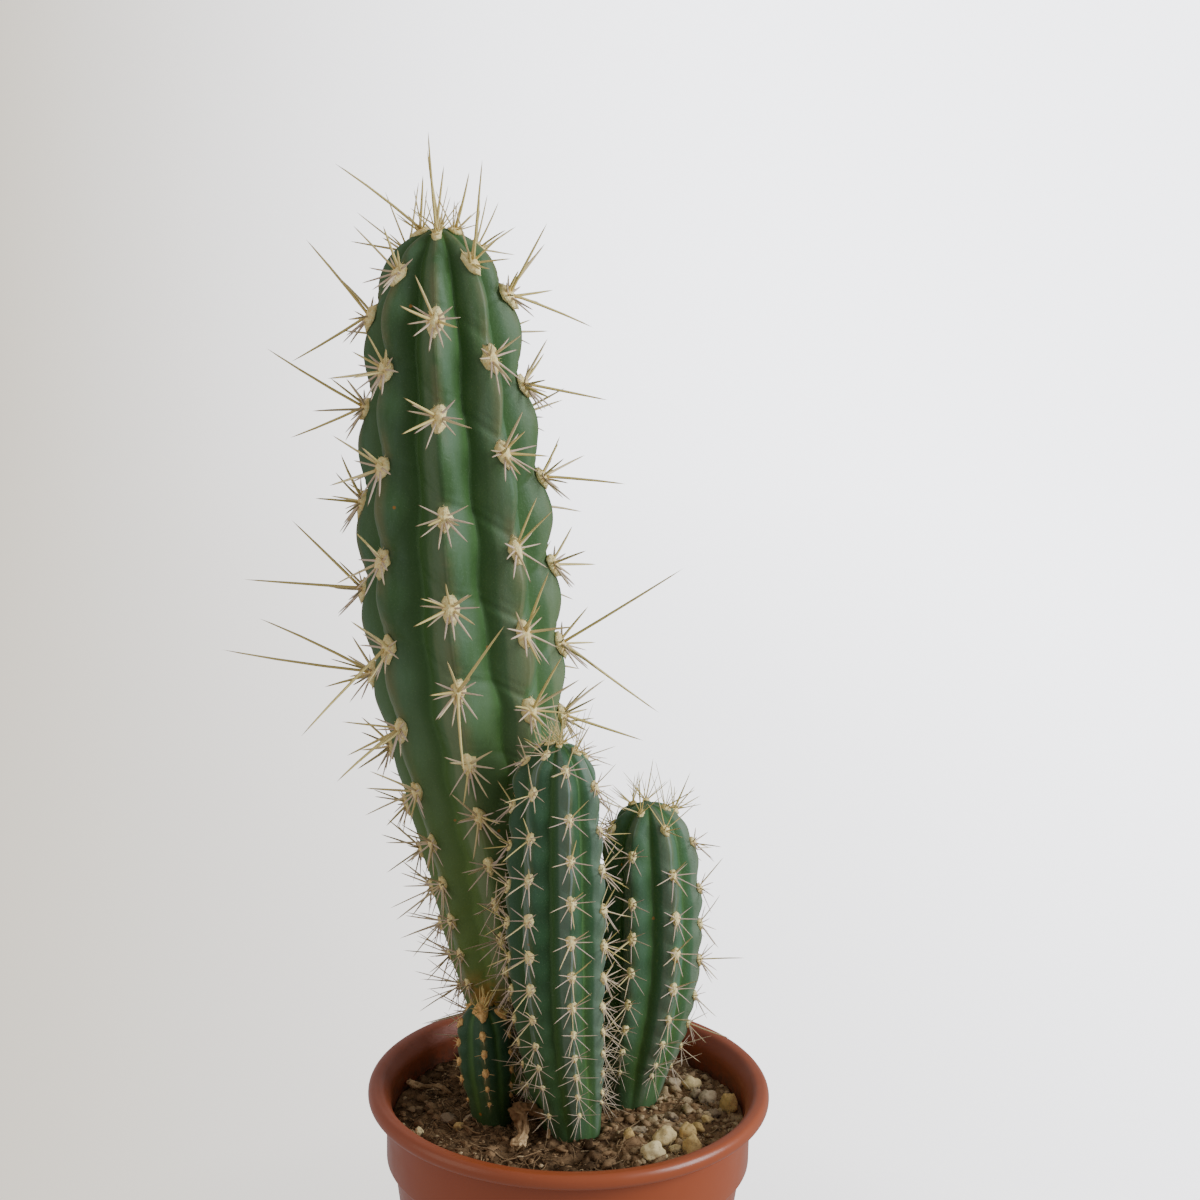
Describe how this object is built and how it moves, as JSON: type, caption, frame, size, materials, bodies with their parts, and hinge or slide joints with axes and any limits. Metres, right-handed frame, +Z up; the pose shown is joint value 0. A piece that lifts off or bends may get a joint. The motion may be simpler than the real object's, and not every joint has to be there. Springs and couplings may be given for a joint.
{
  "type": "potted tall cactus",
  "caption": "Tall ribbed columnar cactus with shorter offset stems and long spines, in soil in a round tapered plastic nursery pot with a wide flat rim.",
  "frame": {"origin": "centre of the pot's foot, on the surface that it stands on", "axes": "+Z up the plant, -Y towards the front that the picture shows, +X to the right of that view"},
  "size_m": [0.1759, 0.1364, 0.4136],
  "materials": {
    "pot_plastic": "satin",
    "peat": "matte",
    "cactus_skin": "satin",
    "pebble": "matte",
    "dry_scrap": "matte",
    "spine": "satin",
    "areole_wool": "matte"
  },
  "bodies": {
    "root": {"pot": "pot_plastic", "soil": "peat", "stem_main": "cactus_skin", "stem_front": "cactus_skin", "stem_right": "cactus_skin", "stem_pup": "cactus_skin", "pebble_01": "pebble", "pebble_02": "pebble", "pebble_03": "pebble", "pebble_04": "pebble", "pebble_05": "pebble", "pebble_06": "pebble", "pebble_07": "pebble", "pebble_08": "pebble", "pebble_09": "pebble", "pebble_10": "pebble", "pebble_11": "pebble", "pebble_12": "pebble", "dry_husk": "dry_scrap", "root_scrap": "dry_scrap"}
  },
  "joints": []
}
